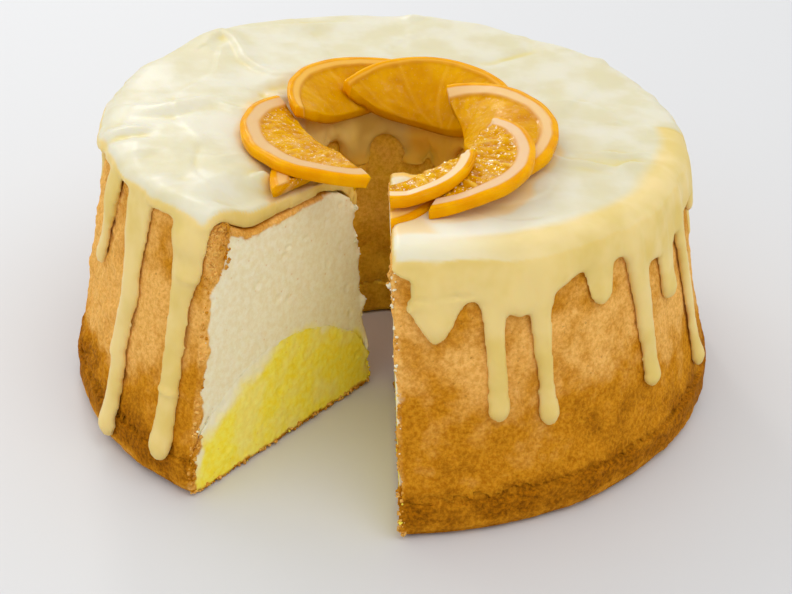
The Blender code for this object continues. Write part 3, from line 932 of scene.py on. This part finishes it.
def make_icing(material):
    obj = fine_copy("icing_poured", "icing", ICING_QUAD, 3)
    coarsen(obj, hidden_icing(Place(obj.data)))
    place = Place(obj.data)
    points = place.points
    normals = normals_of(obj.data)
    up = ramp(0.3, 0.9, normals[:, 2]) * (place.height > SPONGE_HEIGHT - 8)
    outside = ramp(0.5, -1.5, place.from_outside) * (1 - up)
    in_hole = ramp(24, 16, place.from_hole)
    relief = up * top_relief(place) + outside * (wall_relief(place) + 0.35)
    relief += (1 - up) * (1 - outside) * (0.3 * noise(points, 8, 120) + 0.25 * noise(points, 3, 121))
    relief += in_hole * (1.7 * noise(points, 9, 122) + 0.8 * noise(points, 4, 123))
    relief *= ramp(0.2, 2.0, place.from_cut) * 0.7 + 0.3
    swelling, shift = bulged(place)
    relief += swelling * outside + rim_folds(place)
    shaped = points + normals * relief[:, None]
    outwards = place.outwards()
    round_cake = outwards[:, (1, 0, 2)] * (-1, 1, 1)
    shaped += round_cake * (shift * ramp(2, 0, place.from_outside))[:, None]
    shaped[:, 2] -= hole_arches(place)
    scraped = scraped_by_knife(place)
    shaped -= outwards * SCRAPE_DEPTH * scraped[:, None]
    shaped[:, 0] += 1.5 * scraped * ramp(3, 1, place.from_right)
    over_sponge = (place.height > 84) & (place.from_outside > -1)
    settles = np.where(normals[:, 2] < -0.3, SPONGE_SETTLES, ICING_SETTLES)
    shaped[:, 2] -= over_sponge * sunk_at_left_cut(place, settles)
    set_points(obj.data, shaped)
    write_values(obj.data, **icing_fields(obj.data, place, relief, up, in_hole))
    finish_piece(obj, material, "icing", "icing")


# The orange slices


class Slice(NamedTuple):
    """An orange slice: its circle's centre and radius, the way its arc faces, its cut side, and its level in
    the stack. Then the colour of its pith, the share of the radius where that starts, how wet and lumpy its
    pulp is, and how far it has sunk into the icing."""

    x: float
    y: float
    radius: float
    faces: float
    cut_at: float
    level: int
    pith: tuple
    pith_starts: float
    wet: float
    sunk: float = 0.9


WHOLE_SLICES = (
    Slice(-14, -19.5, 43.5, 208, 16, 0, (220, 180, 126), 0.85, 0.6),
    Slice(-3.5, 8.5, 39.5, 135, 14, 1, (232, 178, 78), 0.89, 0.05),
    Slice(12, 8, 36, 72, 4, 2, (230, 170, 60), 0.92, 0.05),
    Slice(17, -21, 44, 8, 10, 3, (230, 190, 132), 0.86, 0.15),
    Slice(10.5, -46.5, 40, 339, 16, 4, (228, 190, 146), 0.85, 1.0),
    Slice(-2, -55, 30.5, 305, 17, 5, (236, 206, 160), 0.85, 1.0, 1.6),
)
LEFT_REMNANT = Slice(-1, -55, 43, 200, 0, 0, (228, 180, 110), 0.86, 1.0, 5.0)
RIGHT_REMNANT = Slice(-22, -58, 40, 315, 20, 0, (234, 186, 100), 0.85, 0.3, 2.9)
SLICES = WHOLE_SLICES + (LEFT_REMNANT, RIGHT_REMNANT)
SLICES_AT_RIGHT_CUT = (6, 7)
SLICE_THICKNESS = 4.3
ORANGE_SEGMENTS = 10
SLICE_RINGS = 150


def drape(flat_radius, lift):
    """Where points this far out lie (radius, height) when a slice bends over the edge into the hole."""
    lip = SPONGE_HEIGHT - HOLE_EDGE_DROP
    across = HOLE_EDGE_WIDTH + ICING_THICKNESS + SLICE_CLEARANCE + lift
    up = HOLE_EDGE_DROP + ICING_THICKNESS + SLICE_CLEARANCE + lift
    edge = hole_radius(lip) + HOLE_EDGE_WIDTH
    bend_length = np.pi / 2 * np.hypot(across, up) / math.sqrt(2)
    past = np.maximum(edge - flat_radius, 0)
    turn = np.minimum(past / bend_length, 1) * np.pi / 2
    below = np.clip(past - bend_length, 0, SLICE_DRAPE_LIMIT)
    radius = np.where(flat_radius > edge, flat_radius, edge - across * np.sin(turn))
    return radius, lip + up * np.cos(turn) - below


def clockwise_from_cut(item, x, y):
    """The heading of a point on a slice, in degrees clockwise from the right cut."""
    degrees = RIGHT_CUT.degrees
    middle = (degrees - item.faces) % 360
    here = degrees - np.degrees(np.arctan2(y, x))
    return middle + turned(here, middle)


def flat_place(item, sideways, depth):
    """Where a point of a slice is before it bends over the hole's edge."""
    faces = math.radians(item.faces)
    x = item.x + depth * math.cos(faces) - sideways * math.sin(faces)
    y = item.y + depth * math.sin(faces) + sideways * math.cos(faces)
    return x, y


def far_end(item):
    """Where a slice ends, in degrees clockwise from the right cut."""
    half = math.sqrt(item.radius**2 - item.cut_at**2)
    return clockwise_from_cut(item, *flat_place(item, -half, item.cut_at)) + SLICE_END_MARGIN


def slice_lift(item, x, y):
    """How far the slices below it raise this one at each point."""
    ends = [far_end(other) for other in WHOLE_SLICES[:-1]]
    here = clockwise_from_cut(item, x, y)
    return SLICE_STEP * np.maximum(item.level - np.interp(here, ends, range(len(ends))), 0)


def draped(item, sideways, depth, above):
    """Points of a flat slice, above its underside by this much, laid on the cake."""
    x, y = flat_place(item, sideways, depth)
    angle = np.arctan2(y, x)
    radius, height = drape(np.hypot(x, y), slice_lift(item, x, y) + above - item.sunk)
    x, y = radius * np.cos(angle), radius * np.sin(angle)
    return np.stack([x, y, height * (1 + TOP_LEAN * x / SPONGE_HEIGHT)], axis=-1)


def slice_section(item, arc):
    """The closed section of a slice at one place along it: depths from the circle's centre, and heights."""
    reach = max(arc - item.cut_at, 0.3)
    flat = item.cut_at + reach * np.linspace(0, 1, 46)
    under = np.stack([flat[::4], np.zeros(len(flat[::4]))], axis=-1)
    side = [(arc + 0.2, 0.4), (arc + 0.5, 1.4), (arc + 0.5, 2.6), (arc + 0.3, SLICE_THICKNESS - 0.6)]
    over = np.stack([flat[::-1], np.full(len(flat), SLICE_THICKNESS)], axis=-1)
    over[0, 0] -= 0.2
    back = [(item.cut_at - 0.3, SLICE_THICKNESS - 1.0), (item.cut_at - 0.3, 1.0)]
    return np.concatenate([under, side, over, back])


def slice_rings(item, steps, section_at):
    """Sections along a slice's cut side, as (sideways, depth, height) points, and how many in each."""
    half = math.sqrt(item.radius**2 - item.cut_at**2)
    rings = []
    for along in np.sin(np.linspace(-1, 1, steps) * math.pi / 2 * SLICE_END_SHARE):
        section = np.array(section_at(math.sqrt(item.radius**2 - (along * half) ** 2)))
        rings.append(np.column_stack([np.full(len(section), along * half), section]))
    return np.concatenate(rings), len(rings[0])


def slice_off(obj, cut):
    """Keeps what is on the cake's side of a knife cut, and closes it."""
    body = bmesh.new()
    body.from_mesh(obj.data)
    everything = body.verts[:] + body.edges[:] + body.faces[:]
    point = (cut.x * MM, cut.y * MM, 0)
    way = cut_outwards(cut)
    bmesh.ops.bisect_plane(body, geom=everything, plane_co=point, plane_no=way, clear_outer=True)
    bmesh.ops.holes_fill(body, edges=[edge for edge in body.edges if edge.is_boundary])
    body.to_mesh(obj.data)
    body.free()


def make_slice(number, item, cut=None, under=None):
    """One candied slice as a loft along its cut side, with its pulp, pith and rind. The cake's cut, and the
    space of a slice that lies on it, may take some of it away."""
    rings = SLICE_RINGS
    flat, count = slice_rings(item, rings, lambda arc: slice_section(item, arc))
    sideways, depth, above = flat.T
    radial = np.hypot(sideways, depth)
    turn = np.arctan2(sideways, depth)
    share = radial / item.radius + 0.006 * noise(flat, 6, 199)
    rind = ramp(0.94, 0.965, share)
    pith = ramp(item.pith_starts - 0.02, item.pith_starts + 0.02, share) * (1 - rind)
    flesh = 1 - ramp(item.pith_starts - 0.03, item.pith_starts, share)
    phase = (turn / (2 * np.pi) * ORANGE_SEGMENTS) % 1
    from_wall = np.minimum(phase, 1 - phase) * 2 * np.pi / ORANGE_SEGMENTS * radial
    membrane = ramp(0.8, 0.2, from_wall) * flesh * (0.1 + 0.5 * item.wet)
    on_top = ramp(SLICE_THICKNESS - 0.5, SLICE_THICKNESS - 0.1, above)
    seed = 200 + 10 * number
    cells = np.stack([radial / 3.4, turn * item.radius * 0.4, np.full(len(radial), 0.5)], axis=-1)
    fibres = noise(cells, 1, seed) + 0.5 * noise(cells, 0.5, seed + 1)
    relief = -0.8 * flesh + (0.12 + 0.75 * item.wet) * flesh * fibres + 0.3 * membrane
    relief += 0.15 * noise(flat, 5, seed + 2) - 0.7 * ramp(0.95, 1.01, share) ** 2
    above = above + on_top * relief + 0.3 * noise(flat, 14, seed + 3)
    half = np.abs(sideways).max()
    edge = ramp(item.cut_at + 3, item.cut_at, depth)
    torn = edge * ramp(0.35, 0.8, sideways / half) * (0.3 + item.wet)
    depth = depth + 0.5 * noise(flat, 9, seed + 4) * ramp(0.7, 1.0, share)
    depth = depth + 2.0 * torn * layered(flat, 5, seed + 5, 2)
    obj = lofted(f"orange_slice_{number}_candied", draped(item, sideways, depth, above), count)
    clear = 0.3 + 0.3 * noise(flat, 10, seed + 6)
    write_values(
        obj.data,
        rind=np.maximum(rind, 1 - on_top) * (share > 0.9),
        pith=pith,
        pulp=flesh * on_top,
        membrane=membrane * on_top,
        fibre=flesh * (clear + (0.1 + 0.5 * item.wet) * fibres),
    )
    if under:
        boolean = obj.modifiers.new("Cut", "BOOLEAN")
        boolean.object = under
        boolean.solver = "EXACT"
        apply_modifiers(obj)
    if cut:
        slice_off(obj, cut)
    material = orange_material(f"candied orange {number}", colour(*item.pith), item.wet)
    finish_piece(obj, material, "candied_orange", f"orange_slice_{number}")


def slice_space(name, item):
    """What a slice takes up, and more, as a hidden cutter for what it lies on."""
    wider = item._replace(radius=item.radius - 0.5, cut_at=item.cut_at - 12)

    def box(arc):
        depths = np.linspace(wider.cut_at, arc, 20)
        under = [(depth, -0.4) for depth in depths]
        return under + [(depth, 10) for depth in depths[::-1]]

    flat, count = slice_rings(wider, 40, box)
    cutter = lofted(name, draped(wider, *flat.T), count)
    cutter.hide_render = True
    return cutter


# Camera, light and stage

CAMERA_LENS = 76.0066
CAMERA_PLACE = (0.001264, -0.59200, 0.37340)
CAMERA_TARGET = (0.001264, 0, 0.023844)
CAMERA_ROLL = 0.6825
# Each lamp's name, place, target, size in metres, watts and tint
LAMPS = (
    ("window", (-0.75, 0.95, 1.1), (0, 0, 0.05), 0.9, 4, (1.0, 0.99, 0.96)),
    ("glint", (-0.3, 1.1, 0.8), (0, 0, 0.08), 0.22, 2, (1.0, 0.99, 0.97)),
    ("fill", (0.6, -0.7, 1.6), (0, 0, 0.05), 1.2, 6, (1.0, 0.98, 0.95)),
    ("left card", (-1.0, -0.4, 0.35), (0, 0, 0.05), 0.8, 1.0, (1.0, 0.98, 0.95)),
)
SKY = (0.97, 0.985, 1.0, 1.0)
SKY_STRENGTH = 0.9


def look_along(obj, location, target, roll=0.0):
    way = (Vector(target) - Vector(location)).normalized()
    turn = way.to_track_quat("-Z", "Y").to_matrix() @ Matrix.Rotation(math.radians(roll), 3, "Z")
    obj.matrix_world = Matrix.Translation(location) @ turn.to_4x4()


def make_camera():
    data = bpy.data.cameras.new("camera")
    data.lens = CAMERA_LENS
    data.sensor_width = 36
    camera = new_object("camera", data)
    look_along(camera, CAMERA_PLACE, CAMERA_TARGET, CAMERA_ROLL)
    bpy.context.scene.camera = camera


def make_lamp(name, location, target, size, watts, tint):
    data = bpy.data.lights.new(name, "AREA")
    data.shape = "DISK"
    data.size = size
    data.energy = watts
    data.color = tint
    look_along(new_object(name, data), location, target)


def make_stage():
    bpy.ops.mesh.primitive_plane_add(size=8)
    floor = bpy.context.object
    floor.name = "floor"
    s = Shader("pale floor")
    s.set(Base_Color=FLOOR, Roughness=0.6)
    floor.data.materials.append(s.material)
    world = bpy.data.worlds.new("studio")
    bpy.context.scene.world = world
    world.use_nodes = True
    background = world.node_tree.nodes["Background"]
    background.inputs["Color"].default_value = SKY
    background.inputs["Strength"].default_value = SKY_STRENGTH
    for lamp in LAMPS:
        make_lamp(*lamp)
    bpy.context.scene.view_settings.view_transform = "Standard"


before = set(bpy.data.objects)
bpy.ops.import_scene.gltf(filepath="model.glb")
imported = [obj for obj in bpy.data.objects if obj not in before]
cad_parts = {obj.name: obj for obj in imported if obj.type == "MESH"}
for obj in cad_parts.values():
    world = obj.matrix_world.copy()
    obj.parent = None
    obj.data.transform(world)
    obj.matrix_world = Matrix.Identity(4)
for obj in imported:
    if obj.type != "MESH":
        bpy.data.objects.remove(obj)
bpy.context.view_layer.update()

make_camera()
make_stage()
cream = sponge_material("white sponge", WHITE_CRUMB, WHITE_SHADE, YELLOW_CRUMB)
yellow = sponge_material("yellow sponge", YELLOW_CRUMB, YELLOW_SHADE, WHITE_CRUMB)
white_sponge = make_sponge(
    "white_sponge", cream, white_crust_depth, yellow_share, WHITE_GRAIN, -SEAM_LAP, deep_in_white
)
yellow_sponge = make_sponge(
    "yellow_sponge", yellow, yellow_crust_depth, yellow_swap, YELLOW_GRAIN, SEAM_LAP, deep_in_yellow
)
make_crumbs("white_sponge_crumbs", white_sponge, cream, "white_sponge", WHITE_CRUMBS, 1)
make_crumbs("yellow_sponge_crumbs", yellow_sponge, yellow, "yellow_sponge", YELLOW_CRUMBS, 2)
make_icing(icing_material())
for number, item in enumerate(WHOLE_SLICES, 2):
    make_slice(number, item, cut=RIGHT_CUT if number in SLICES_AT_RIGHT_CUT else None)
second_slice = slice_space("second_slice", WHOLE_SLICES[0])
make_slice(1, LEFT_REMNANT, cut=LEFT_CUT, under=second_slice)
make_slice(8, RIGHT_REMNANT, cut=RIGHT_CUT)
bpy.data.objects.remove(second_slice)
